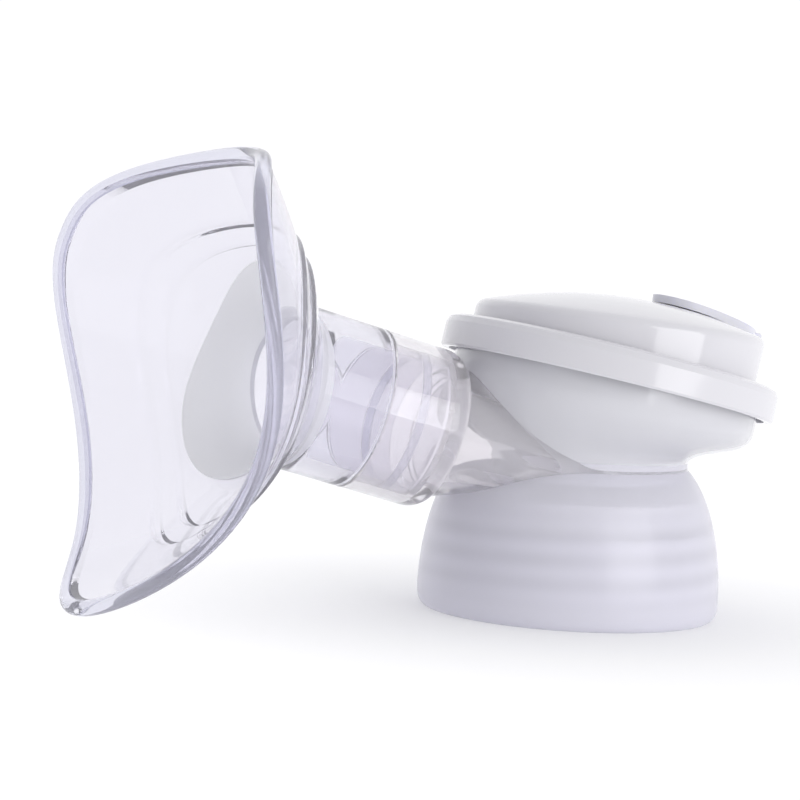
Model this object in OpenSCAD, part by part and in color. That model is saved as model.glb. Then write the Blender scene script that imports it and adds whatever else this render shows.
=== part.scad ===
// Collection head of an electric breast pump.
// It stands on the open rim of its bottle collar, which is the origin, with +Z up.
// The breast shield points to -X and upward, and the diaphragm cap leans toward +X.
// Everything on the tube is drawn along the tube's own axis, and everything under the
// cap along the cap's own axis: in_tube(), in_shield() and in_cap() place the pieces.

/* [Bottle collar] */
// Outer radius of the bell-shaped collar near its rim
collar_r = 34.3; // [33.5:0.1:36]
// Height of the waist between the collar and the bowl
waist_z = 33.8; // [33:0.1:35]
// Outer radius at the waist
waist_r = 25.6; // [25:0.1:27]
// Radius inside the threaded skirt, between the thread ridges
thread_bore_r = 27.5; // [27:0.25:27.75]
// Height of the thread ridges above the bore
thread_ridge_h = 1.1; // [0.8:0.1:1.3]

/* [Tube] */
// Rise of the tube's axis above level, toward the shield
tube_tilt = 14.5; // [12:0.1:16]
// Height at which the tube's axis crosses the collar's axis
tube_axis_z = 31.3; // [31:0.1:33]
// Outer radius of the tube, the same on the connector and on the shield
tube_r = 18; // [17.5:0.1:18.5]
// Distance along the tube from the collar's axis to the shoulder
shoulder_s = 35.6; // [35:0.1:37]
// Distance along the tube to the seam between the connector and the shield
seam_s = 55; // [54:0.5:57]

/* [Breast shield] */
// Radius of the nipple tunnel, half of its 28 mm size
tunnel_r = 14; // [13.5:0.25:14.5]
// Wall thickness of the shield
shield_wall = 2.1; // [1.8:0.1:2.6]
// Turn of the shield on the tube
shield_turn = 62.5; // [-180:0.5:180]
// Half of the shield's width
shield_half_w = 47.4; // [44:0.2:50]
// Half of the shield's height
shield_half_h = 45; // [40:0.2:46]
// Narrowing of the outline toward the pointed end
shield_taper = 0.37; // [0.2:0.01:0.45]
// Thickness of the soft lip around the edge
lip_d = 3.5; // [3:0.1:4]

/* [Cap] */
// Lean of the cap's axis from upright, toward +X
cap_tilt = 11.4; // [10:0.1:13]
// X of the centre of the lock ring's lower edge
cap_x = 6.6; // [6:0.1:8]
// Z of the centre of the lock ring's lower edge
cap_z = 51.8; // [51:0.1:53]
// Outer radius of the lock ring
ring_r = 38.8; // [38.5:0.1:40]
// Height of the lock ring
ring_h = 7.6; // [7:0.1:8.5]
// Outer radius of the dome above the ring
dome_r = 33; // [32:0.2:33.6]
// Height of the dome's shoulder above the ring's lower edge, on the cap's axis
dome_h = 15.3; // [15:0.1:17]
// Angle between the dome's top and the ring
top_tilt = 6; // [5:0.5:7]

/* [Hidden] */
$fn = 96;
HULL_FN = 48;
EPS = 0.01;

wall = 2.2;
rim_wall = 2.6;
rim_bead_h = 4;
rim_relief = 0.7;
rim_round_r = 2;
rim_round_z = 3.4;
bell_core_r = 20.6;
bell_start_z = 4;
bell_rise = 32;
bell_end = asin((waist_z - bell_start_z) / bell_rise);
bowl_r = 35.2;
bowl_rim_h = 3;
chamber_r = 32.4;
deck_bottom = 26.5;
deck_top = 30;
skirt_bottom = 4.5;
skirt_wall = 1.8;
valve_tube_r = 8;
valve_hole_r = 5.5;
valve_tube_bottom = 18;

// A facetted hull stays this far inside the true cylinder that it joins.
facet_gap = 0.15;

shoulder_r = 15.6;
socket_r = 15.7;
socket_floor_s = 39.5;
passage_r = 12.5;
spigot_r = 15.6;
spigot_end_s = 40.5;
seam_gap = 0.2;
seal_s = 45.5;
seal_w = 2;

lug_count = 4;
lug_w = 8;
lug_reach = 1.2;
ring_bore_r = 36.8;
dome_wall = 2;
foot_r = 35.9;
foot_z = 4.6;
foot_h = 1.5;
crown_r = 105;
port_x = 20.8;
port_hole_r = 2.6;
anchor_z = 12.2;
anchor_r = 1.6;

// Frames of the three axes that the object is built on.
module in_tube() {
    translate([0, 0, tube_axis_z]) rotate([0, tube_tilt - 90, 0]) children();
}
module in_shield() { in_tube() rotate([0, 0, shield_turn]) children(); }
module in_cap() { translate([cap_x, 0, cap_z]) rotate([0, cap_tilt, 0]) children(); }
module in_top() { in_cap() translate([0, 0, dome_h]) rotate([0, -top_tilt, 0]) children(); }

module ring_of(r_out, r_in, z, h) {
    translate([0, 0, z]) difference() {
        cylinder(r = r_out, h = h);
        translate([0, 0, -1]) cylinder(r = r_in, h = h + 2);
    }
}

// --- The connector: bell collar, waist, bowl, neck and tube in one moulding ---------

// Outside of the bell, from the rim up to the waist.
module bell_outer() {
    rotate_extrude() polygon(concat(
        [[0, 0]],
        [for (a = [0:15:75]) [collar_r - rim_round_r + rim_round_r * sin(a), rim_round_z * (1 - cos(a))]],
        [for (a = [0:4:bell_end]) [bell_core_r + (collar_r - bell_core_r) * cos(a),
            bell_start_z + bell_rise * sin(a)]],
        [[waist_r, waist_z], [waist_r, waist_z + 0.6], [0, waist_z + 0.6]]));
}

// Gap between the bell's thin wall and the threaded skirt inside it.
module bell_gap() {
    gap_r = thread_bore_r + skirt_wall;
    bead_r = collar_r - rim_wall;
    gap_wall_r = bead_r + rim_relief;
    rotate_extrude() polygon([
        [gap_r, -1], [bead_r, -1], [bead_r, rim_bead_h], [gap_wall_r, rim_bead_h],
        [gap_wall_r, 9], [gap_wall_r - 0.5, 14], [gap_r, 19.5]]);
}

// Thread ridges, each tilted like one turn of the bottle's thread.
module thread_ridges() {
    pitch = 5.2;
    for (i = [0:2]) translate([0, 0, skirt_bottom + 3.8 + i * pitch]) rotate([0, -2.2, 0])
        rotate_extrude() polygon([
            [thread_bore_r + 0.6, -1.5], [thread_bore_r - thread_ridge_h, -0.5],
            [thread_bore_r - thread_ridge_h, 0.5], [thread_bore_r + 0.6, 1.5]]);
}

module waist_disc(r, z, h) { translate([0, 0, z]) cylinder(r = r, h = h, $fn = HULL_FN); }

// Outside of the tube behind the seam, with its rounded shoulder.
module tube_outer() {
    rise = 4;
    in_tube() rotate_extrude() polygon(concat(
        [[0, shoulder_s]],
        [for (a = [0:15:90]) [shoulder_r + (tube_r - shoulder_r) * sin(a),
            shoulder_s + rise * (1 - cos(a))]],
        [[tube_r, seam_s - seam_gap], [0, seam_s - seam_gap]]));
}

module connector_body() {
    color([0.86, 0.87, 0.90, 0.6]) {
        difference() {
            union() {
                bell_outer();
                hull() {
                    in_cap() translate([0, 0, -2.4]) cylinder(r = bowl_r - facet_gap, h = 1.9, $fn = 72);
                    waist_disc(waist_r - facet_gap, waist_z - 0.5, 1.5);
                }
                hull() {
                    in_tube() translate([0, 0, shoulder_s + 0.6])
                        cylinder(r = shoulder_r - facet_gap, h = 1, $fn = HULL_FN);
                    waist_disc(waist_r + 0.2, waist_z - 0.8, 1.2);
                }
                tube_outer();
                in_cap() translate([0, 0, -1]) cylinder(r = bowl_r, h = bowl_rim_h + 1);
                in_cap() for (i = [0:lug_count - 1]) rotate([0, 0, i * 360 / lug_count])
                    translate([bowl_r - 1, -lug_w / 2, 0.6]) cube([1 + lug_reach, lug_w, 1.6]);
            }
            bell_gap();
            translate([0, 0, -1]) cylinder(r = collar_r - rim_wall, h = 1 + skirt_bottom);
            cylinder(r = thread_bore_r, h = deck_bottom);
            hull() {
                in_cap() translate([0, 0, -1.6]) cylinder(r = chamber_r - facet_gap, h = 1.1, $fn = 72);
                waist_disc(waist_r - wall, deck_top, 4);
            }
            in_cap() translate([0, 0, -0.8]) cylinder(r = chamber_r, h = bowl_rim_h + 2);
            hull() {
                in_tube() translate([0, 0, shoulder_s + 1]) cylinder(r = 11.6, h = 1, $fn = HULL_FN);
                waist_disc(waist_r - wall - 1, deck_top + 0.3, 3);
            }
            in_tube() translate([0, 0, shoulder_s]) cylinder(r = passage_r, h = 30);
            in_tube() translate([0, 0, socket_floor_s]) cylinder(r = socket_r, h = 30);
            translate([0, 0, deck_bottom - 1]) cylinder(r = valve_hole_r, h = 6);
        }
        thread_ridges();
        ring_of(valve_tube_r, valve_hole_r, valve_tube_bottom, deck_bottom - valve_tube_bottom + EPS);
    }
}

// Flat ring that the bottle's mouth seals against.
module bottle_gasket() {
    color([0.93, 0.93, 0.91]) ring_of(thread_bore_r - 0.3, 22.5, deck_bottom - 1.7, 1.6);
}

// One-way valve: a cup pushed over the nozzle, with two lips that meet in a slit.
module duckbill_valve() {
    cup_r = valve_tube_r + 1.6;
    cup_top = deck_bottom - 1;
    cup_bottom = valve_tube_bottom - 1.6;
    lip_bottom = 6.5;
    color([0.95, 0.95, 0.93]) difference() {
        union() {
            ring_of(cup_r, valve_tube_r + 0.05, cup_bottom, cup_top - cup_bottom);
            ring_of(cup_r + 1.2, cup_r - 0.5, cup_top - 1.6, 1.6);
            hull() {
                translate([0, 0, cup_bottom]) cylinder(r = valve_tube_r + 0.6, h = 1, $fn = 32);
                translate([-7.5, -0.9, lip_bottom]) cube([15, 1.8, 1]);
            }
        }
        hull() {
            translate([0, 0, cup_bottom]) cylinder(r = valve_tube_r - 0.8, h = 1 + EPS, $fn = 32);
            translate([-6.3, -0.15, lip_bottom + 0.4]) cube([12.6, 0.3, 1]);
        }
        translate([-6.3, -0.08, lip_bottom - 1]) cube([12.6, 0.16, 3]);
        translate([0, 0, cup_bottom + 0.9]) cylinder(r = valve_tube_r + 0.05, h = 1);
    }
}

// --- The shield: tunnel, flare and soft lip ------------------------------------------
// In the shield's frame z runs along the tunnel toward the breast, and x toward the
// outline's narrow end. The face is one smooth surface z = face_s(x, y).

ref = 40;
face_apex = 76.1;
side_rise = 20.3;
side_flat = 1.3;
end_rise = 28;
end_lean = 11.6;
end_curl = 3.2;
end_flat = 3.8;
cross_rise = 2;
edge_shift = -2.1;
edge_power = 2 / 2.2;
dip = 8;
dip_r = 25;
SWEEP_STEP = 6;

function spow(v, p) = sign(v) * pow(abs(v), p);
function edge_x(t) = edge_shift + shield_half_h * spow(sin(t), edge_power);
function edge_y(t) =
    shield_half_w * spow(cos(t), edge_power) * (1 - shield_taper * spow(sin(t), edge_power));
function bowl_s(u, w) = face_apex + side_rise * w * w - side_flat * pow(w, 4)
    + end_lean * u + end_rise * u * u + end_curl * pow(u, 3) - end_flat * pow(u, 4)
    + cross_rise * w * w * u;
function funnel_dip(r) = r < dip_r ? dip * pow((dip_r - r) / (dip_r - tunnel_r), 2) : 0;
function face_s(x, y) = bowl_s(x / ref, y / ref) - funnel_dip(norm([x, y]));
function slope_x(x, y) = (face_s(x + 0.05, y) - face_s(x - 0.05, y)) / 0.1;
function slope_y(x, y) = (face_s(x, y + 0.05) - face_s(x, y - 0.05)) / 0.1;
// Depth along z that gives a wall of thickness d across the sloping face.
function axial(x, y, d) = d * norm([slope_x(x, y), slope_y(x, y), 1]);
function face_normal(x, y) =
    let (n = [-slope_x(x, y), -slope_y(x, y), 1]) n / norm(n);
// Point of the plan at fraction k of the way from a circle of radius r to the outline.
function plan(t, k, r) = [(1 - k) * r * sin(t) + k * edge_x(t), (1 - k) * r * cos(t) + k * edge_y(t)];
function on_face(p, d) = [p[0], p[1], face_s(p[0], p[1]) - axial(p[0], p[1], d)];

// A closed ring swept from sections: sections[i] is one loop of points.
module swept_ring(sections) {
    n = len(sections);
    m = len(sections[0]);
    polyhedron(
        points = [for (s = sections) for (p = s) p],
        faces = [for (i = [0:n - 1]) for (j = [0:m - 1])
            let (a = i * m + j, b = i * m + (j + 1) % m,
                c = ((i + 1) % n) * m + (j + 1) % m, d = ((i + 1) % n) * m + j)
            each [[a, b, c], [a, c, d]]],
        convexity = 6);
}

front_k = [0, 0.03, 0.07, 0.12, 0.18, 0.26, 0.36, 0.48, 0.6, 0.72, 0.84, 0.93, 1];
back_k = [1, 0.92, 0.82, 0.7, 0.56, 0.42, 0.3, 0.2, 0.12, 0.06, 0.02];
front_r = tunnel_r + 0.2;
back_r = tube_r + 0.05;
root_s = 66;

function shield_section(t) = concat(
    [[front_r * sin(t), front_r * cos(t), root_s]],
    [for (k = front_k) on_face(plan(t, k, front_r), 0)],
    [for (k = back_k) on_face(plan(t, k, back_r), shield_wall)],
    [[back_r * sin(t), back_r * cos(t), root_s]]);

module breast_shield() {
    color([0.90, 0.90, 0.94, 0.4]) in_shield() {
        swept_ring([for (t = [0:SWEEP_STEP:359]) shield_section(t)]);
        ring_of(tube_r, tunnel_r, seam_s, root_s + 1 - seam_s);
        difference() {
            ring_of(spigot_r, tunnel_r, spigot_end_s, seam_s + 1 - spigot_end_s);
            ring_of(spigot_r + 1, spigot_r - 0.7, seal_s, seal_w);
        }
    }
}

// Soft seal band in the groove of the shield's spigot.
module shield_seal() {
    color([0.85, 0.86, 0.88]) in_tube()
        ring_of(spigot_r + 0.06, spigot_r - 0.66, seal_s + 0.05, seal_w - 0.1);
}

// Soft rounded lip moulded over the shield's edge.
LIP_STEPS = 12;
lip_k = 1.03;
function lip_section(t) =
    let (p = plan(t, lip_k, front_r), q = plan(t, 1, front_r),
        c = on_face(p, shield_wall / 2), n = face_normal(p[0], p[1]),
        o = c - on_face(q, shield_wall / 2), w = (o - n * (o * n)) / norm(o - n * (o * n)))
    [for (i = [0:LIP_STEPS - 1]) let (a = -i * 360 / LIP_STEPS)
        c + lip_d / 2 * (cos(a) * n + sin(a) * w)];

module shield_lip() {
    color([0.82, 0.82, 0.88, 0.6]) in_shield()
        swept_ring([for (t = [0:SWEEP_STEP:359]) lip_section(t)]);
}

// Frosted soft liner of the funnel, from the tunnel out to the funnel's mouth.
liner_gap = 0.05;
liner_t = 1;
liner_half_x = 19.5;
liner_half_y = 25;
function liner_plan(t, k) =
    [lerp(front_r + 0.4, liner_half_x, k) * sin(t), lerp(front_r + 0.4, liner_half_y, k) * cos(t)];
function lerp(a, b, k) = a + (b - a) * k;
function liner_section(t) = concat(
    [for (k = [0:0.2:1]) on_face(liner_plan(t, k), -liner_gap - liner_t)],
    [for (k = [1:-0.2:0]) on_face(liner_plan(t, k), -liner_gap)]);

module funnel_liner() {
    color([0.93, 0.93, 0.95]) in_shield()
        swept_ring([for (t = [0:SWEEP_STEP:359]) liner_section(t)]);
}

// --- Under the cap ---------------------------------------------------------------------

plate_r = 15;
membrane_t = 1.1;
membrane_z = 3.2;

// Soft membrane: a flange on the bowl's rim, a rolled fold and a step for the plate.
module diaphragm() {
    fold_r = 23.5;
    fold_w = 7.5;
    fold_d = 6;
    flange_r = 34.6;
    color([0.94, 0.93, 0.90]) in_cap() rotate_extrude() polygon(concat(
        [[flange_r, membrane_z], [flange_r, membrane_z + membrane_t], [fold_r + fold_w, membrane_z + membrane_t]],
        [for (a = [0:20:180]) [fold_r + fold_w * cos(a), membrane_z + membrane_t - 0.4 - fold_d * sin(a)]],
        [[fold_r - fold_w - membrane_t, membrane_z]],
        [for (a = [180:-20:0]) [fold_r + (fold_w + membrane_t) * cos(a), membrane_z - 0.4 - fold_d * sin(a)]],
        [[fold_r + fold_w + membrane_t, membrane_z]]));
}

// Stiff middle of the membrane, which the air strokes up and down.
module diaphragm_plate() {
    color([0.90, 0.90, 0.88]) in_cap() {
        translate([0, 0, 2.6]) cylinder(r = plate_r - 0.4, h = 1.6);
        translate([0, 0, 4.1]) cylinder(r = 5, h = 1.8);
    }
}

// --- The cap ------------------------------------------------------------------------------

// Space under a large ball, which gives the dome's top its slight crown.
crown_sag = crown_r - sqrt(crown_r * crown_r - dome_r * dome_r);
function crown_z(x, above) = crown_sag - crown_r + sqrt(pow(crown_r + above, 2) - x * x);
module crown(r, z, drop) {
    intersection() {
        in_cap() translate([0, 0, z]) cylinder(r = r, h = 40);
        in_top() translate([0, 0, crown_sag - crown_r - drop]) sphere(r = crown_r, $fn = 180);
    }
}

module cap_dome() {
    color([0.93, 0.93, 0.95]) difference() {
        union() {
            crown(dome_r, foot_z, 0);
            in_cap() translate([0, 0, foot_z]) cylinder(r = foot_r, h = foot_h);
        }
        crown(dome_r - dome_wall, foot_z - 1, dome_wall);
        in_top() translate([port_x, 0, -10]) cylinder(r = 4.6, h = 20);
        in_cap() translate([0, 0, anchor_z]) rotate([0, 90, 0]) cylinder(r = anchor_r + 0.05, h = 40);
    }
}

// Insert that the air hose's plug goes into, through the dome's top.
module hose_port() {
    color([0.90, 0.90, 0.92]) in_top() translate([port_x, 0, crown_z(port_x, 0)]) {
        ring_of(4.55, port_hole_r, -8, 6.8);
        ring_of(6, 4, -5.1, 1.2);
    }
}

// Oval soft plug over the hose port; it follows the crown and folds open on its tether.
plug_r = 7.5;
plug_len = 11;
plug_t = 1.8;
plug_gap = 0.3;
plug_roll = 7;
plug_hinge_x = dome_r + plug_gap + plug_t / 2;
plug_hinge_z = crown_z(plug_hinge_x, plug_gap + plug_t / 2);
module port_plug() {
    mid_x = plug_hinge_x - plug_r - plug_len / 2;
    color([0.90, 0.90, 0.93]) in_top() {
        intersection() {
            translate([mid_x, 0, -5]) union() {
                for (x = [-plug_len / 2, plug_len / 2])
                    translate([x, 0, 0]) cylinder(r = plug_r, h = 20);
                translate([-plug_len / 2, -plug_r, 0]) cube([plug_len, 2 * plug_r, 20]);
            }
            translate([0, 0, crown_sag - crown_r]) difference() {
                sphere(r = crown_r + plug_gap + plug_t, $fn = 180);
                sphere(r = crown_r + plug_gap, $fn = 180);
            }
        }
        translate([port_x, 0, crown_z(port_x, 0) - 1.8]) cylinder(r = port_hole_r - 0.35, h = 3);
        translate([plug_hinge_x, 0, plug_hinge_z])
            rotate([90, 0, 0]) cylinder(r = plug_t / 2, h = plug_roll, center = true);
    }
}

// Button pressed into the dome's side, with the flat tether that runs up to the plug.
module plug_anchor() {
    leaf_w = 5;
    leaf_t = 1.2;
    leaf_top = dome_h + plug_hinge_x * sin(top_tilt) + plug_hinge_z - plug_t / 2 - 0.5;
    color([0.90, 0.90, 0.93]) in_cap() {
        translate([dome_r - 2.4, 0, anchor_z]) rotate([0, 90, 0]) {
            cylinder(r = anchor_r, h = 2.8);
            translate([0, 0, 2.6]) cylinder(r1 = 2.3, r2 = 1.7, h = 2);
        }
        translate([dome_r + 0.3, -leaf_w / 2, anchor_z]) cube([leaf_t, leaf_w, leaf_top - anchor_z]);
    }
}

// Lock ring: it clamps the dome and the membrane onto the bowl's rim.
module cap_lock_ring() {
    color([0.93, 0.93, 0.95]) in_cap() {
        rotate_extrude() polygon([
            [ring_bore_r, 0], [ring_r - 0.4, 0], [ring_r, 0.5], [ring_r, ring_h - 2],
            [ring_r - 0.6, ring_h - 0.6], [ring_r - 2, ring_h], [dome_r + 0.4, ring_h],
            [dome_r + 0.4, ring_h - 1.2], [ring_bore_r, ring_h - 1.2]]);
        for (i = [0:lug_count - 1]) rotate([0, 0, 45 + i * 360 / lug_count])
            translate([35.7, -lug_w / 2, 0.6]) cube([1.3, lug_w, 1.6]);
    }
}

connector_body();
bottle_gasket();
duckbill_valve();
shield_seal();
breast_shield();
shield_lip();
funnel_liner();
diaphragm();
diaphragm_plate();
cap_dome();
hose_port();
port_plug();
plug_anchor();
cap_lock_ring();
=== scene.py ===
# %% [markdown]
# # The collection head of a breast pump
# This lesson dresses a finished CAD model in smooth meshes and real finishes. The head
# has a clear shield, a milky connector that screws onto a bottle, and a white cap over
# a soft membrane. The CAD model fixes every place and size, so we load it first and build
# our pieces to its places. All lengths in our own numbers are millimetres.

# %% Load the CAD frame
import math

import bmesh
import bpy
from mathutils import Matrix, Quaternion, Vector


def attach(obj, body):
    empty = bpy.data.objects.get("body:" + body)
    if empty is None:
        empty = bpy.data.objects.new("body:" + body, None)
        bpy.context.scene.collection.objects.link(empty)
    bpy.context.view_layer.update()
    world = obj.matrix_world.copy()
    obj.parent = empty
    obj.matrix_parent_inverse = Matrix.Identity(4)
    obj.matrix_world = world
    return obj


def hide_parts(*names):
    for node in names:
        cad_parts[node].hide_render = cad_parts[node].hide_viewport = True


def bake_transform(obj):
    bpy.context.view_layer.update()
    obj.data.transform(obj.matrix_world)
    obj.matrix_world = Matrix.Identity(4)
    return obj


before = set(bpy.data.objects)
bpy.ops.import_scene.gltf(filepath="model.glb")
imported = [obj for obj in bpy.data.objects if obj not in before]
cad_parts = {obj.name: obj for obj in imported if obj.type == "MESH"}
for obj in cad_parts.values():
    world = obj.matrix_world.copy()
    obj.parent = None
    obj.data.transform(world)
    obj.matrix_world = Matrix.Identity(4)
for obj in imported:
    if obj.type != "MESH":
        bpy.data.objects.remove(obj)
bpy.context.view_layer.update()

MM = 0.001
print("CAD nodes:", sorted(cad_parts))

# %% [markdown]
# ## Three axes
# A real pump head is drawn along three axes: the tube's, the cap's, and the upright
# axis of the bottle collar. One matrix for each lets us model a piece standing upright
# at the origin and then place it. The shield is also turned about the tube's axis.

# %% The axes of the tube, the shield and the cap
TUBE_AXIS_Z = 31.3
TUBE_TILT = math.radians(14.5)
SHIELD_TURN = math.radians(62.5)
CAP_TILT = math.radians(11.4)
CAP_CENTRE = (6.6, 0, 51.8)

UPRIGHT = Matrix.Identity(4)
LEANED = Matrix.Rotation(TUBE_TILT - math.pi / 2, 4, "Y")
IN_TUBE = Matrix.Translation((0, 0, TUBE_AXIS_Z)) @ LEANED
IN_SHIELD = IN_TUBE @ Matrix.Rotation(SHIELD_TURN, 4, "Z")
IN_CAP = Matrix.Translation(CAP_CENTRE) @ Matrix.Rotation(CAP_TILT, 4, "Y")
CAP_UP = (IN_CAP.to_3x3() @ Vector((0, 0, 1))).normalized()
print("the cap points to", [round(c, 3) for c in CAP_UP])

# %% [markdown]
# ## Camera
# It stands low, just above the table on the shield's side, with a long lens, and is
# held a little out of level, which gives the object its slight lean.

# %% The camera
VIEW_TARGET = Vector((-43.57, 0, 46.86)) * MM
VIEW_DISTANCE = 519.6 * MM
VIEW_AZIMUTH = math.radians(-21.67)
VIEW_ELEVATION = math.radians(3.39)
VIEW_ROLL = math.radians(3.13)
LENS = 105.9

view_way = Vector((
    math.sin(VIEW_AZIMUTH) * math.cos(VIEW_ELEVATION),
    -math.cos(VIEW_AZIMUTH) * math.cos(VIEW_ELEVATION),
    math.sin(VIEW_ELEVATION),
))
camera = bpy.data.objects.new("camera", bpy.data.cameras.new("camera"))
bpy.context.scene.collection.objects.link(camera)
camera.data.lens = LENS
camera.data.sensor_width = 36
camera.location = VIEW_TARGET + view_way * VIEW_DISTANCE
roll = Quaternion((0, 0, 1), VIEW_ROLL)
camera.rotation_euler = (view_way.to_track_quat("Z", "Y") @ roll).to_euler()
bpy.context.scene.camera = camera
print("camera at", [round(c, 3) for c in camera.location])

# %% [markdown]
# ## Growing a skin
# Most pieces here are skins with a round plan: a shield, a lip, a bowl. By hand we would
# add a circle, extrude its edge, and move or scale the new ring, again and again. The
# helper does the same with the extrude operator. It takes the rings in order, puts each
# new ring where it belongs, and closes the skin at the ends.

# %% Helpers that grow, spin and cut meshes
def only(obj=None):
    """Leave edit mode and select this object alone."""
    if bpy.context.mode != "OBJECT":
        bpy.ops.object.mode_set(mode="OBJECT")
    bpy.ops.object.select_all(action="DESELECT")
    if obj is not None:
        obj.select_set(True)
        bpy.context.view_layer.objects.active = obj


def finish_mesh(obj, angle=35):
    """Merge doubled points, point the faces outwards, and shade smooth below an angle."""
    only(obj)
    bpy.ops.object.mode_set(mode="EDIT")
    bpy.ops.mesh.select_all(action="SELECT")
    bpy.ops.mesh.remove_doubles(threshold=1e-6)
    bpy.ops.mesh.normals_make_consistent(inside=False)
    bpy.ops.object.mode_set(mode="OBJECT")
    bpy.ops.object.shade_smooth_by_angle(angle=math.radians(angle))
    return obj


def grow(name, rings, place, close):
    """A skin through rings of points in mm; close is "ends" (caps) or "loop" (a ring)."""
    rings = [[place @ Vector(p) * MM for p in ring] for ring in rings]
    if close == "loop":
        rings.append(rings[0])
    only()
    bpy.ops.mesh.primitive_circle_add(vertices=len(rings[0]), radius=0.01)
    obj = bpy.context.object
    obj.name = obj.data.name = name
    bpy.ops.object.mode_set(mode="EDIT")
    mesh = bmesh.from_edit_mesh(obj.data)
    mesh.verts.ensure_lookup_table()
    for vert, point in zip(mesh.verts, rings[0]):
        vert.co = point
    for before, ring in zip(rings, rings[1:]):
        here = {tuple(round(c, 9) for c in point): k for k, point in enumerate(before)}
        bpy.ops.mesh.extrude_edges_move()
        mesh = bmesh.from_edit_mesh(obj.data)
        for vert in [v for v in mesh.verts if v.select]:
            vert.co = ring[here[tuple(round(c, 9) for c in vert.co)]]
        bmesh.update_edit_mesh(obj.data)
    if close == "ends":
        bpy.ops.mesh.select_all(action="SELECT")
        bpy.ops.mesh.fill_holes(sides=0)
    return finish_mesh(obj)


def ring_at(radius, height, count=144):
    """A level ring of points in mm."""
    turns = [2 * math.pi * k / count for k in range(count)]
    return [(radius * math.cos(a), radius * math.sin(a), height) for a in turns]


def turned(name, profile, place, close="ends", count=144):
    """A round piece from a profile of (radius, height) points in mm."""
    return grow(name, [ring_at(r, z, count) for r, z in profile], place, close)


def cut(obj, tool, operation):
    """Join a closed mesh to another, or cut it away, and drop the tool."""
    only(obj)
    modifier = obj.modifiers.new("cut", "BOOLEAN")
    modifier.operation = operation
    modifier.solver = "EXACT"
    modifier.object = tool
    bpy.ops.object.modifier_apply(modifier=modifier.name)
    bpy.data.objects.remove(tool)


def report(obj):
    """Print a finished piece's size and face count."""
    size = [round(d / MM, 1) for d in obj.dimensions]
    print(f"{obj.name}: {len(obj.data.polygons)} faces, {size} mm")


def arc(centre, radius, start, end, steps):
    """Points of an arc in a profile; degrees, from the first axis toward the second."""
    return [
        (
            centre[0] + radius[0] * math.cos(math.radians(start + (end - start) * k / steps)),
            centre[1] + radius[1] * math.sin(math.radians(start + (end - start) * k / steps)),
        )
        for k in range(steps + 1)
    ]


# %% [markdown]
# ## Finishes
# Every part is moulded plastic or silicone. A moulded surface is never perfectly even:
# its gloss drifts a little over a few centimetres and it has a faint texture from the
# mould. One recipe covers that, and each finish sets its own colour, gloss and clarity.

# %% Colour and node helpers
def linear(hex_colour):
    """An sRGB hex colour as linear RGBA."""
    values = [int(hex_colour[k:k + 2], 16) / 255 for k in (0, 2, 4)]
    return [v / 12.92 if v <= 0.04045 else ((v + 0.055) / 1.055) ** 2.4 for v in values] + [1.0]


def add(tree, kind, settings=None, inputs=None):
    """Add a node, set its properties, and set or link its inputs."""
    node = tree.nodes.new(kind)
    for name, value in (settings or {}).items():
        setattr(node, name, value)
    for name, value in (inputs or {}).items():
        if isinstance(value, bpy.types.NodeSocket):
            tree.links.new(value, node.inputs[name])
        else:
            node.inputs[name].default_value = value
    return node


# %% The recipe for a moulded finish
# The thread and band numbers set painted shade: soft dark bands in the colour that stand for the
# thread's ridge seen through the wall.
THREAD_PITCH = 5.2
BAND_FADE_IN = (4, 9)
BAND_FADE_OUT = (26, 20)
BAND_SHADE = 0.72
PATCH_SIZE = 22
DRIFT_SIZE = 18


def maths(tree, operation, *values):
    """The result of one maths node."""
    inputs = dict(enumerate(values))
    return add(tree, "ShaderNodeMath", {"operation": operation}, inputs).outputs["Value"]


def painted_thread_shade(tree, place, colour, strength):
    """The colour with painted shade: darker in soft bands where the thread's ridge lies behind the
    wall.
    """
    xyz = add(tree, "ShaderNodeSeparateXYZ", inputs={"Vector": place})
    turn = maths(tree, "ARCTAN2", xyz.outputs["Y"], xyz.outputs["X"])
    way = maths(tree, "MULTIPLY", xyz.outputs["Z"], 2 * math.pi / (THREAD_PITCH * MM))
    wave = maths(tree, "SINE", maths(tree, "SUBTRACT", way, turn))
    ridge = maths(tree, "MULTIPLY_ADD", wave, 0.5, 0.5)
    patchy = add(tree, "ShaderNodeTexNoise", inputs={
        "Vector": place, "Scale": 1 / (PATCH_SIZE * MM), "Detail": 1.0})
    low = add(tree, "ShaderNodeMapRange", inputs={
        "Value": xyz.outputs["Z"],
        "From Min": BAND_FADE_IN[0] * MM, "From Max": BAND_FADE_IN[1] * MM})
    high = add(tree, "ShaderNodeMapRange", inputs={
        "Value": xyz.outputs["Z"],
        "From Min": BAND_FADE_OUT[0] * MM, "From Max": BAND_FADE_OUT[1] * MM})
    ends = maths(tree, "MULTIPLY", low.outputs["Result"], high.outputs["Result"])
    band = maths(tree, "MULTIPLY", maths(tree, "MULTIPLY", ridge, patchy.outputs["Fac"]), ends)
    share = maths(tree, "MULTIPLY", band, strength)
    dark = [c * BAND_SHADE for c in linear(colour)[:3]] + [1.0]
    mix = add(tree, "ShaderNodeMixRGB", inputs={
        "Fac": share, "Color1": linear(colour), "Color2": dark})
    return mix.outputs[0]


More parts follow.
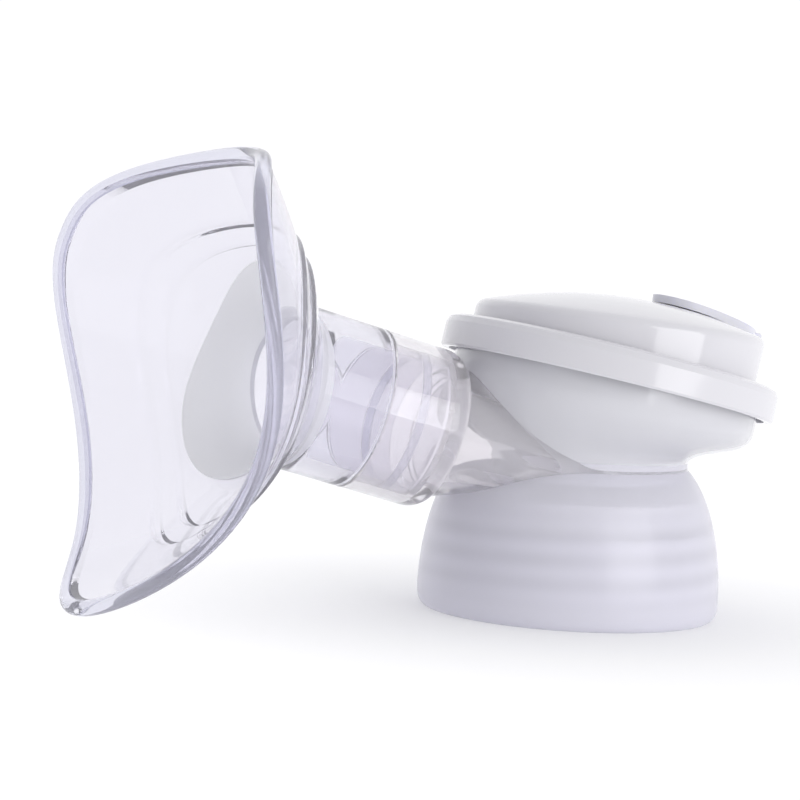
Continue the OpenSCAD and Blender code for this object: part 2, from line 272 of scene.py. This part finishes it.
def moulded(name, colour, gloss, grain_mm, relief,
            lets_light_through=0.0, thread=0.0, **sockets):
    """A moulded finish. gloss is the lowest and highest roughness, relief the bump's
    height in mm, and thread how strongly the painted shade bands along the thread show."""
    material = bpy.data.materials.new(name)
    material.use_nodes = True
    tree = material.node_tree
    tree.nodes.clear()
    place = add(tree, "ShaderNodeTexCoord").outputs["Object"]
    drift = add(tree, "ShaderNodeTexNoise", inputs={
        "Vector": place, "Scale": 1 / (DRIFT_SIZE * MM), "Detail": 3.0})
    grain = add(tree, "ShaderNodeTexNoise", inputs={
        "Vector": place, "Scale": 1 / (grain_mm * MM), "Detail": 4.0, "Roughness": 0.6})
    rough = add(tree, "ShaderNodeMapRange", inputs={
        "Value": drift.outputs["Fac"], "From Min": 0.3, "From Max": 0.7,
        "To Min": gloss[0], "To Max": gloss[1]})
    bump = add(tree, "ShaderNodeBump", inputs={
        "Height": grain.outputs["Fac"], "Distance": relief * MM, "Strength": 1.0})
    tint = painted_thread_shade(tree, place, colour, thread) if thread else linear(colour)
    shader = add(tree, "ShaderNodeBsdfPrincipled", inputs={
        "Base Color": tint, "Roughness": rough.outputs["Result"],
        "Normal": bump.outputs["Normal"], **sockets})
    surface = shader.outputs["BSDF"]
    if lets_light_through:
        share = lets_light_through
        clear = add(tree, "ShaderNodeBsdfTransparent", inputs={"Color": [share, share, share, 1]})
        rays = add(tree, "ShaderNodeLightPath").outputs["Is Shadow Ray"]
        mix = add(tree, "ShaderNodeMixShader", inputs={
            0: rays, 1: surface, 2: clear.outputs[0]})
        surface = mix.outputs[0]
    add(tree, "ShaderNodeOutputMaterial", inputs={"Surface": surface})
    return material


# %% The finishes
# Clear hard plastic, polished in the mould: almost no haze, a cool cast in thick edges.
CLEAR = moulded("polished_clear_plastic", "EDECF3", (0.01, 0.05), 9, 0.004, 0.93,
    **{"Transmission Weight": 0.9, "IOR": 1.33})
# Clear polypropylene of the connector's tube and neck: warmer, and never quite as clear.
WARM = moulded("clear_polypropylene", "F7F5F8", (0.03, 0.08), 7, 0.004, 0.9,
    **{"Transmission Weight": 0.86, "IOR": 1.3, "Coat Weight": 0.4, "Coat Roughness": 0.04})
# Clear soft elastomer: the same cast, deeper, with a slightly less sharp skin.
LIP = moulded("clear_soft_elastomer", "E6E6F0", (0.04, 0.1), 3, 0.004, 0.9,
    **{"Transmission Weight": 0.88, "IOR": 1.36})
# Polypropylene is milky: light scatters inside it, under a glossy skin.
HAZY = moulded("natural_polypropylene", "EEEEF3", (0.10, 0.2), 6, 0.004, 0.8,
    **{"Transmission Weight": 0.4, "IOR": 1.4, "Coat Weight": 0.6, "Coat Roughness": 0.04})
# The milky finish also has painted shade: dark bands along the thread, where the ridge behind the wall
# would shade it.
MILKY = moulded("frosted_polypropylene", "EFEEF7", (0.3, 0.4), 9, 0.006, 0.75, 0.5,
    **{"Transmission Weight": 0.4, "IOR": 1.4, "Coat Weight": 0.25, "Coat Roughness": 0.15})
# Frosted silicone: a bead-blasted mould leaves it matt and soft.
FROSTED = moulded("frosted_silicone", "ECECF0", (0.65, 0.8), 0.35, 0.02,
    **{"Subsurface Weight": 0.25, "Subsurface Radius": [0.002, 0.002, 0.002], "IOR": 1.41})
# Plain silicone: pale, satin, and light passes a few millimetres into it.
SILICONE = moulded("translucent_silicone", "EFEEEA", (0.3, 0.42), 0.8, 0.008,
    **{"Subsurface Weight": 0.4, "Subsurface Radius": [0.003, 0.003, 0.003], "IOR": 1.41})
PLUG = moulded("pale_plug_silicone", "DFDFE7", (0.28, 0.38), 0.8, 0.008,
    **{"Subsurface Weight": 0.5, "Subsurface Radius": [0.003, 0.003, 0.004], "IOR": 1.41})
# Opaque white plastic from a polished mould: sharp reflections over a faint orange peel.
WHITE = moulded("glossy_white_plastic", "DAD9DE", (0.1, 0.2), 4, 0.006,
    **{"IOR": 1.5, "Coat Weight": 0.4, "Coat Roughness": 0.05})
FINISHES = (CLEAR, WARM, LIP, HAZY, MILKY, FROSTED, SILICONE, PLUG, WHITE)
print("finishes:", [finish.name for finish in FINISHES])

# %% [markdown]
# ## The shield's face
# The face is one smooth surface over an egg-shaped plan, dished toward the tunnel. The
# CAD model draws it by a formula, and the same formula gives a finer mesh here. Its
# height runs along the tunnel, and x points to the plan's narrow end.

# %% The face as a formula
HALF_W = 47.4
HALF_H = 45
TAPER = 0.37
EDGE_SHIFT = -2.1
EDGE_POWER = 2 / 2.2
UNIT = 40
FACE_APEX = 76.1
ACROSS_2 = 20.3
ACROSS_4 = -1.3
ALONG_1 = 11.6
ALONG_2 = 28
ALONG_3 = 3.2
ALONG_4 = -3.8
TWIST = 2
DIP = 8
DIP_R = 25
TUNNEL_R = 14
TUBE_R = 18
WALL = 2.1
PROBE = 0.05
AROUND = [2 * math.pi * k / 144 for k in range(144)]


def bent(value):
    """A sine or cosine, bent so that the outline is a little squarer than an oval."""
    return math.copysign(abs(value) ** EDGE_POWER, value)


def edge(t):
    """The outline's point at this angle."""
    x = EDGE_SHIFT + HALF_H * bent(math.sin(t))
    y = HALF_W * bent(math.cos(t)) * (1 - TAPER * bent(math.sin(t)))
    return x, y


def face_height(x, y):
    """The face's height over a point of the plan."""
    u = x / UNIT
    w = y / UNIT
    face = (
        FACE_APEX + ACROSS_2 * w**2 + ACROSS_4 * w**4
        + ALONG_1 * u + ALONG_2 * u**2 + ALONG_3 * u**3 + ALONG_4 * u**4
        + TWIST * w**2 * u
    )
    r = math.hypot(x, y)
    return face - (DIP * ((DIP_R - r) / (DIP_R - TUNNEL_R)) ** 2 if r < DIP_R else 0)


def face_normal(x, y):
    """The way the face looks at a point of the plan."""
    slope_x = (face_height(x + PROBE, y) - face_height(x - PROBE, y)) / (2 * PROBE)
    slope_y = (face_height(x, y + PROBE) - face_height(x, y - PROBE)) / (2 * PROBE)
    return Vector((-slope_x, -slope_y, 1)).normalized()


def below_face(x, y, depth):
    """The point a wall's depth under the face, measured straight along the tunnel."""
    return Vector((x, y, face_height(x, y) - depth / face_normal(x, y).z))


def plan(t, share, inner_r):
    """A point of the plan, a share of the way from a circle to the outline."""
    x, y = edge(t)
    return (
        (1 - share) * inner_r * math.sin(t) + share * x,
        (1 - share) * inner_r * math.cos(t) + share * y,
    )


narrow_end, wide_side = edge(math.pi / 2), edge(0)
print("the narrow end is at", [round(c, 1) for c in narrow_end])
print("the side is at", [round(c, 1) for c in wide_side])

# %% [markdown]
# ## The shield
# The flare has two shallow steps that follow its outline. Each is a soft ledge in the
# front, matched by one in the back a wall's thickness further in, so that the wall keeps
# its thickness. We grow one closed skin: up the tunnel, out over the front, round the
# edge, back down behind, and along the outside of the tube to the push-in end.

# %% Steps in the flare
STEPS = (0.62, 0.49)
STEP_DEPTH = 0.9
STEP_HALF = 0.005
STEP_FULL_FROM = 0.3
BACK_SHIFT = 0.045
BACK_STEP = 0.8


def step_depth(share, shift=0.0):
    """How far the two steps sink the face at this share of the way out."""
    depth = 0.0
    for place in STEPS:
        way = min(max((share - (place - shift - STEP_HALF)) / (2 * STEP_HALF), 0), 1)
        depth += STEP_DEPTH * (1 - way * way * (3 - 2 * way))
    return depth * min(share / STEP_FULL_FROM, 1)


def shares(shift):
    """Stations from the tunnel to the edge, closer together over the two steps."""
    plain = [0, 0.02, 0.045, 0.07, 0.1, 0.135, 0.17, 0.21, 0.25, 0.29, 0.33, 0.37, 0.4]
    plain += [0.44, 0.47, 0.54, 0.57, 0.6, 0.67, 0.7, 0.73, 0.76, 0.8, 0.84, 0.88, 0.92, 0.96, 1]
    fine = [place - shift + STEP_HALF * k / 3 for place in STEPS for k in range(-4, 5)]
    return sorted(v for v in set(plain + fine) if 0 <= v <= 1)


# %% Grow the shield
SPIGOT_R = 15.6
SPIGOT_END = 40.5
SEAM = 55
SEAL_AT = 45.5
SEAL_W = 2
GROOVE = 0.7
ROOT = 66


def upright_ring(radius, height):
    """A ring about the tunnel, with its points in the same order as the face's."""
    return [(radius * math.sin(t), radius * math.cos(t), height) for t in AROUND]


rings = [upright_ring(TUNNEL_R, z) for z in (SPIGOT_END + 0.4, 48, 56, 62)]
rings.append(upright_ring(TUNNEL_R + 0.05, ROOT))
for share in shares(0.0):
    rings.append([below_face(*plan(t, share, TUNNEL_R + 0.2), step_depth(share)) for t in AROUND])
for share in reversed(shares(BACK_SHIFT)):
    depth = WALL + step_depth(share, BACK_SHIFT) * BACK_STEP
    rings.append([below_face(*plan(t, share, TUBE_R + 0.05), depth) for t in AROUND])
rings += [upright_ring(r, z) for r, z in (
    (TUBE_R, ROOT), (TUBE_R, 60), (TUBE_R, SEAM + 0.3), (TUBE_R - 0.3, SEAM),
    (SPIGOT_R, SEAM), (SPIGOT_R, SEAL_AT + SEAL_W), (SPIGOT_R - GROOVE, SEAL_AT + SEAL_W),
    (SPIGOT_R - GROOVE, SEAL_AT), (SPIGOT_R, SEAL_AT), (SPIGOT_R, SPIGOT_END + 0.4),
    (SPIGOT_R - 0.4, SPIGOT_END), (TUNNEL_R + 0.4, SPIGOT_END))]
shield = grow("clear_shield", rings, IN_SHIELD, "loop")
shield.data.materials.append(CLEAR)
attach(shield, "shield")
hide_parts("breast_shield")
report(shield)

# %% [markdown]
# ## The soft lip
# A clear elastomer lip is moulded over the shield's edge, so it doesn't press into the
# skin. Its section is nearly a circle, with a slot that takes the edge of the wall.

# %% Grow the lip around the edge
LIP_R = 1.75
LIP_AT = 1.03
SLOT_HALF = WALL / 2 + 0.03
SLOT_FLOOR = -0.9


def lip_frame(t):
    """The lip's centre, the face's normal there, and the way out of the shield."""
    centre = below_face(*plan(t, LIP_AT, TUNNEL_R + 0.2), WALL / 2)
    inside = below_face(*plan(t, 1, TUNNEL_R + 0.2), WALL / 2)
    normal = face_normal(centre.x, centre.y)
    out = centre - inside
    out = (out - normal * out.dot(normal)).normalized()
    return centre, normal, out


slot_angle = math.degrees(math.asin(SLOT_HALF / LIP_R))
section = arc((0, 0), (LIP_R, LIP_R), 180 - slot_angle, -180 + slot_angle, 22)
section += [(SLOT_FLOOR, -SLOT_HALF), (SLOT_FLOOR, SLOT_HALF)]
frames = [lip_frame(t) for t in AROUND]
rings = [
    [c + out * outward + normal * upward for c, normal, out in frames]
    for outward, upward in section
]
lip = grow("soft_lip", rings, IN_SHIELD, "loop")
lip.data.materials.append(LIP)
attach(lip, "shield")
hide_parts("shield_lip")
report(lip)

# %% [markdown]
# ## The funnel's liner
# A frosted silicone skin lines the funnel, where the shield touches the breast. It is
# about a millimetre thick with a rounded rim.

# %% Grow the liner
LINER_GAP = 0.05
LINER_T = 1.0
LINER_IN = TUNNEL_R + 0.6
LINER_X = 19.5
LINER_Y = 25


def liner_point(t, share, height):
    """A point this height over the funnel, a share of the way to the liner's rim."""
    x = (LINER_IN + (LINER_X - LINER_IN) * share) * math.sin(t)
    y = (LINER_IN + (LINER_Y - LINER_IN) * share) * math.cos(t)
    return below_face(x, y, step_depth(0.1) - height)


top = LINER_GAP + LINER_T
rings = [[liner_point(t, k / 12, LINER_GAP) for t in AROUND] for k in range(12, -1, -1)]
rings += [[liner_point(t, k / 12, top) for t in AROUND] for k in range(12)]
for share, height in ((0.96, top), (0.99, top - 0.1), (1.01, top - 0.3), (1.015, top - 0.6)):
    rings.append([liner_point(t, share, height) for t in AROUND])
liner = grow("frosted_liner", rings, IN_SHIELD, "loop")
liner.data.materials.append(FROSTED)
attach(liner, "shield")
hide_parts("funnel_liner")
report(liner)

# %% [markdown]
# ## The connector
# One moulding holds the bottle collar, the bowl under the membrane, the neck and the
# tube. We build its outside from simple bodies, join them, and then cut away the spaces
# inside, which is how the mould itself is made: a cavity and a few cores.

# %% The bell collar with its thread
WAIST_R = 25.6
WAIST_Z = 33.8
BORE_R = 27.5
SKIRT_R = 29.3
SKIRT_BOTTOM = 4.5
MOUTH_R = 31.7
THREAD_H = 1.1
THREAD_FROM = 5.5
THREAD_TO = 23
THREAD_FADE = 1.5
THREAD_START = 6.4
RIDGE_HALF = 1.3
RIDGE_SIDE = 0.8
NOZZLE_R = 8
NOZZLE_BORE = 5.5
NOZZLE_END = 18
POCKET_R = 23.4
POCKET_TOP = 35.8
DECK = (26.5, 30)
SLOTS = (WARM, HAZY, MILKY)
CLEAR_WALL, HAZY_WALL, MILKY_WALL = range(3)


def thread_ring(z):
    """A ring of the skirt's inner wall, pushed in where the thread's ridge passes."""
    start = min(max((z - THREAD_FROM) / THREAD_FADE, 0), 1)
    ends = start * min(max((THREAD_TO - z) / THREAD_FADE, 0), 1)
    ring = []
    for t in AROUND:
        phase = ((z - THREAD_START) / THREAD_PITCH - t / (2 * math.pi)) % 1
        off = abs(phase - 0.5) * THREAD_PITCH
        ridge = min(max((RIDGE_HALF - off) / RIDGE_SIDE, 0), 1)
        r = BORE_R - THREAD_H * ridge * ends
        ring.append((r * math.cos(t), r * math.sin(t), z))
    return ring


outside = [(WAIST_R, POCKET_TOP), (WAIST_R, WAIST_Z)]
outside += arc((20.6, 4), (13.7, 32), 67, 0, 26)
outside += arc((32.3, 3.4), (2, 3.4), -12, -90, 6)
outside += [(31.8, 0), (MOUTH_R, 0.1), (MOUTH_R, 3.9), (31.8, 4), (32.4, 4), (32.4, 9)]
outside += [(31.9, 14), (SKIRT_R, 19.5), (SKIRT_R, 4.8), (SKIRT_R - 0.3, SKIRT_BOTTOM)]
rings = [ring_at(r, z) for r, z in outside] + [ring_at(BORE_R + 0.3, SKIRT_BOTTOM)]
rings += [thread_ring(4.8 + 0.35 * k) for k in range(61)]
rings += [ring_at(r, z) for r, z in (
    (BORE_R, DECK[0]), (NOZZLE_R, DECK[0]), (NOZZLE_R, 18.2), (7.8, NOZZLE_END),
    (5.7, NOZZLE_END), (NOZZLE_BORE, 18.2), (NOZZLE_BORE, DECK[1]),
    (POCKET_R, DECK[1]), (POCKET_R, POCKET_TOP))]
connector = grow("connector", rings, UPRIGHT, "loop")
for slot_material in SLOTS:
    connector.data.materials.append(slot_material)


def painted(obj, index):
    """Give a joining body the connector's finishes, all its faces in one of them."""
    obj.data.materials.clear()
    for slot_material in SLOTS:
        obj.data.materials.append(slot_material)
    obj.data.polygons.foreach_set("material_index", [index] * len(obj.data.polygons))
    return obj


painted(connector, MILKY_WALL)
report(connector)

# %% [markdown]
# The bowl grows from the round waist to the cap's tilted rim. Its wall leaves the waist
# upright, swings out, and meets the rim along the cap's axis, so each upright line of it
# is a curve with two handles.

# %% The bowl, outside and inside
LOW_HANDLE = 0.28
HIGH_HANDLE = 0.36


def bowl(name, low_r, low_z, first_z, high_r, high_z, last_z):
    """A body from a level ring to a ring square to the cap's axis, each with a collar."""
    low = [Vector((low_r * math.cos(t), low_r * math.sin(t), low_z)) for t in AROUND]
    high = [IN_CAP @ Vector(p) for p in ring_at(high_r, high_z)]
    rings = [[p + Vector((0, 0, first_z - low_z)) for p in low]] if first_z < low_z else []
    for k in range(19):
        w = k / 18
        ring = []
        for a, d in zip(low, high):
            reach = (d - a).length
            b = a + Vector((0, 0, LOW_HANDLE * reach))
            c = d - CAP_UP * HIGH_HANDLE * reach
            ring.append(
                a * (1 - w)**3 + b * 3 * w * (1 - w)**2
                + c * 3 * w * w * (1 - w) + d * w**3
            )
        rings.append(ring)
    rings.append([p + CAP_UP * (last_z - high_z) for p in high])
    return grow(name, rings, UPRIGHT, "ends")


bowl_outside = painted(bowl(
    "bowl_outside", low_r=25.4, low_z=34.6, first_z=34.6,
    high_r=35.2, high_z=-3.5, last_z=3), HAZY_WALL)
bowl_inside = painted(bowl(
    "bowl_inside", low_r=23.2, low_z=33.8, first_z=DECK[1] + 0.01,
    high_r=32.4, high_z=-2.5, last_z=5), HAZY_WALL)
report(bowl_outside)

# %% [markdown]
# The neck is a body stretched between the tube's end and the waist. That is exactly what
# a convex hull of the two circles gives, so its sides meet both without a step.

# %% The neck and the tube, outside and inside
PASSAGE_R = 12.5
SOCKET_R = 15.7
SOCKET_FLOOR = 39.5


def stretched(name, tube_r, tube_from, tube_to, waist_r, waist_from, waist_to):
    """The convex hull of a short disc in the tube and a short disc in the waist."""
    points = [IN_TUBE @ Vector(p) for s in (tube_from, tube_to) for p in ring_at(tube_r, s)]
    points += [Vector(p) for z in (waist_from, waist_to) for p in ring_at(waist_r, z)]
    only()
    bpy.ops.mesh.primitive_circle_add(vertices=len(points), radius=0.01)
    obj = bpy.context.object
    obj.name = obj.data.name = name
    for vert, point in zip(obj.data.vertices, points):
        vert.co = point * MM
    bpy.ops.object.mode_set(mode="EDIT")
    bpy.ops.mesh.select_all(action="SELECT")
    bpy.ops.mesh.convex_hull()
    return finish_mesh(obj)


neck_outside = painted(stretched(
    "neck_outside", tube_r=15.4, tube_from=36.1, tube_to=37.2,
    waist_r=25.7, waist_from=33.1, waist_to=34.2), CLEAR_WALL)
neck_inside = painted(stretched(
    "neck_inside", tube_r=11.6, tube_from=36.6, tube_to=37.6,
    waist_r=22.4, waist_from=30.3, waist_to=33.8), CLEAR_WALL)
tube_profile = arc((15.6, 39.6), (2.4, 4), -90, 0, 9)
tube_profile += [(TUBE_R, 54.5), (TUBE_R - 0.3, 54.8)]
tube_outside = painted(turned("tube_outside", tube_profile, IN_TUBE), CLEAR_WALL)
bore_profile = [(PASSAGE_R, 35.8), (PASSAGE_R, SOCKET_FLOOR), (SOCKET_R, SOCKET_FLOOR), (SOCKET_R, 70)]
tube_bore = painted(turned("tube_bore", bore_profile, IN_TUBE), CLEAR_WALL)
report(neck_outside)

# %% Join the bodies and cut the spaces
for body in (bowl_outside, neck_outside, tube_outside):
    cut(connector, body, "UNION")
for space in (bowl_inside, neck_inside, tube_bore):
    cut(connector, space, "DIFFERENCE")

# %% The four lugs on the bowl's rim
LUG_SIZE = (2.2, 8, 1.6)
LUG_AT = Matrix.Translation((35.3, 0, 1.4))
for k in range(4):
    only()
    bpy.ops.mesh.primitive_cube_add(size=1)
    lug = bpy.context.object
    lug.data.transform(Matrix.Diagonal((*[side * MM for side in LUG_SIZE], 1)))
    bevel = lug.modifiers.new("soft edges", "BEVEL")
    bevel.width = 0.25 * MM
    bevel.segments = 2
    bpy.ops.object.modifier_apply(modifier=bevel.name)
    place = IN_CAP @ Matrix.Rotation(k * math.pi / 2, 4, "Z") @ LUG_AT
    place.translation *= MM
    lug.data.transform(place)
    cut(connector, painted(lug, HAZY_WALL), "UNION")
finish_mesh(connector, 28)
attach(connector, "connector")
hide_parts("connector_body")
report(connector)

# %% [markdown]
# ## The membrane
# The membrane is thin silicone with a rolled fold that lets its middle travel. Its outer
# edge is clamped and its middle sits on the stiff plate; here it is turned as one fixed shape.

# %% Turn the membrane
FOLD_R = 23.5
FOLD_OUT = 31
FOLD_D = 6
FOLD_DROP = 0.4
MEMBRANE_R = 34.6
MEMBRANE_Z = 3.2
MEMBRANE_T = 1.1
TOP_Z = MEMBRANE_Z + MEMBRANE_T
profile = [(MEMBRANE_R, MEMBRANE_Z), (MEMBRANE_R, TOP_Z), (FOLD_OUT, TOP_Z)]
profile += arc((FOLD_R, TOP_Z - FOLD_DROP), (FOLD_OUT - FOLD_R, -FOLD_D), 4, 180, 20)
profile += arc(
    (FOLD_R, MEMBRANE_Z - FOLD_DROP), (FOLD_OUT - FOLD_R + MEMBRANE_T, -FOLD_D), 180, 0, 20)
membrane = turned("membrane", profile, IN_CAP, "loop", 96)
membrane.data.materials.append(SILICONE)
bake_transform(membrane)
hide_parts("diaphragm")
report(membrane)

# %% [markdown]
# ## The dome
# The dome's top is part of a large ball, and leans a little against the cap's axis. Its
# shoulder is rounded, which gives the long highlight round the edge. We grow it from the
# middle of the top, out over the shoulder, down the wall to the foot, and back up inside.

# %% Heights of the dome's top
DOME_R = 33
DOME_H = 15.3
DOME_WALL = 2
TOP_TILT = math.radians(6)
CROWN_R = 105
CROWN_SAG = CROWN_R - math.sqrt(CROWN_R**2 - DOME_R**2)
CROWN_X = (CROWN_R - CROWN_SAG) * math.sin(TOP_TILT)
CROWN_Z = DOME_H - (CROWN_R - CROWN_SAG) * math.cos(TOP_TILT)
IN_TOP = IN_CAP @ Matrix.Translation((0, 0, DOME_H)) @ Matrix.Rotation(-TOP_TILT, 4, "Y")


def top_ring(radius, below):
    """A ring of points that follows the crowned top, a depth below it."""
    ring = []
    for t in AROUND:
        x, y = radius * math.cos(t), radius * math.sin(t)
        ring.append((x, y, CROWN_Z + math.sqrt(CROWN_R**2 - (x - CROWN_X)**2 - y**2) - below))
    return ring


# %% Grow the dome and cut its two holes
SHOULDER = 1.6
FOOT_R = 35.9
FOOT_Z = 4.6
FOOT_TOP = 6.1
PORT_HOLE_R = 4.6
ANCHOR_HOLE_R = 1.65
IN_PORT = IN_TOP @ Matrix.Translation((20.8, 0, 0))
SIDEWAYS = Matrix.Translation((0, 0, 12.2)) @ Matrix.Rotation(math.pi / 2, 4, "Y")

rings = [top_ring(r, 0) for r in (0.4, 4, 8, 12, 16, 20, 24, 27, 29, DOME_R - SHOULDER)]
for k in range(1, 7):
    a = k / 6 * math.pi / 2
    rings.append(top_ring(DOME_R - SHOULDER * (1 - math.sin(a)), SHOULDER * (1 - math.cos(a))))
rings += [ring_at(r, z) for r, z in (
    (DOME_R, 6.4), (DOME_R, FOOT_TOP), (35.7, FOOT_TOP), (FOOT_R, 5.9), (FOOT_R, FOOT_Z),
    (DOME_R - DOME_WALL, FOOT_Z))]
rings.append(top_ring(DOME_R - DOME_WALL, DOME_WALL + 0.4))
rings += [top_ring(r, DOME_WALL) for r in (30.6, 26, 20, 14, 8, 0.4)]
dome = grow("white_dome", rings, IN_CAP, "ends")
port_profile = [(PORT_HOLE_R, -10), (PORT_HOLE_R, 12)]
cut(dome, turned("port_hole", port_profile, IN_PORT, count=64), "DIFFERENCE")
anchor_profile = [(ANCHOR_HOLE_R, 20), (ANCHOR_HOLE_R, 40)]
cut(dome, turned("anchor_hole", anchor_profile, IN_CAP @ SIDEWAYS, count=48), "DIFFERENCE")
finish_mesh(dome, 40)
dome.data.materials.clear()
dome.data.materials.append(WHITE)
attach(dome, "dome")
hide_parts("cap_dome")
report(dome)

# %% [markdown]
# ## The pieces kept from the CAD
# The cap's small pieces, the seals and the valve are exact there, so they only need
# their finishes.

# %% Finishes for the kept pieces
KEPT = {
    "cap_lock_ring": WHITE, "hose_port": WHITE,
    "port_plug": PLUG, "plug_anchor": PLUG,
    "bottle_gasket": SILICONE, "duckbill_valve": SILICONE,
    "shield_seal": LIP, "diaphragm_plate": SILICONE,
}
for node, material in KEPT.items():
    part = bpy.data.objects[node]
    part.data.materials.clear()
    part.data.materials.append(material)
print("kept from the CAD:", sorted(KEPT))

# %% [markdown]
# ## Floor and light
# A pale floor lights up with distance, so that its edge melts into the surroundings.
# Clear plastic only shows through what it bends and mirrors, so the light is broad: a
# room that is brighter at the back, a softbox in front on the right, and a larger,
# weaker one overhead.

# %% The floor
FLOOR_LIT_FROM_M = 0.12
only()
bpy.ops.mesh.primitive_circle_add(vertices=128, radius=6, fill_type="NGON")
floor = bpy.context.object
floor.name = floor.data.name = "floor"
paper = bpy.data.materials.new("white_paper")
paper.use_nodes = True
sheet = paper.node_tree
sheet.nodes.clear()
matt = add(sheet, "ShaderNodeBsdfPrincipled", inputs={
    "Base Color": linear("F4F4F6"), "Roughness": 0.9})
lit = add(sheet, "ShaderNodeEmission", inputs={"Color": linear("FDFDFF"), "Strength": 1.08})
sheet_way = add(sheet, "ShaderNodeTexCoord").outputs["Object"]
away = add(sheet, "ShaderNodeVectorMath", {"operation": "LENGTH"}, {0: sheet_way})
fade = add(sheet, "ShaderNodeMapRange", inputs={
    "Value": away.outputs["Value"], "From Min": 0.0, "From Max": FLOOR_LIT_FROM_M})
blended = add(sheet, "ShaderNodeMixShader", inputs={
    0: fade.outputs["Result"], 1: matt.outputs["BSDF"], 2: lit.outputs["Emission"]})
add(sheet, "ShaderNodeOutputMaterial", inputs={"Surface": blended.outputs["Shader"]})
floor.data.materials.append(paper)

# %% The light
world = bpy.data.worlds.new("bright room")
bpy.context.scene.world = world
world.use_nodes = True
room = world.node_tree
sky_way = add(room, "ShaderNodeTexCoord").outputs["Generated"]
BRIGHT_WAY = (0.45, 0.88, 0.1)
toward_back = add(room, "ShaderNodeVectorMath", {"operation": "DOT_PRODUCT"},
    {0: sky_way, 1: BRIGHT_WAY}).outputs["Value"]
strength = add(room, "ShaderNodeMapRange", inputs={
    "Value": toward_back, "From Min": -0.5, "From Max": 0.85, "To Min": 0.58, "To Max": 1.06})
room.links.new(strength.outputs["Result"], room.nodes["Background"].inputs["Strength"])
room.nodes["Background"].inputs["Color"].default_value = linear("FDFDFF")


def softbox(name, azimuth, elevation, distance, width, height, power):
    """A soft rectangular light that faces the object."""
    a = math.radians(azimuth)
    e = math.radians(elevation)
    way = Vector((math.sin(a) * math.cos(e), -math.cos(a) * math.cos(e), math.sin(e)))
    data = bpy.data.lights.new(name, "AREA")
    data.shape = "RECTANGLE"
    data.size = width
    data.size_y = height
    data.energy = power
    light = bpy.data.objects.new(name, data)
    bpy.context.scene.collection.objects.link(light)
    light.location = Vector((0, 0, 0.05)) + way * distance
    light.rotation_euler = way.to_track_quat("Z", "Y").to_euler()


softbox("front softbox", 24, 14, 0.85, 0.6, 0.55, 2.6)
softbox("overhead softbox", 150, 70, 1.0, 0.9, 0.9, 0.3)
bpy.context.scene.view_settings.view_transform = "Standard"

# %% Update the scene
bpy.context.view_layer.update()
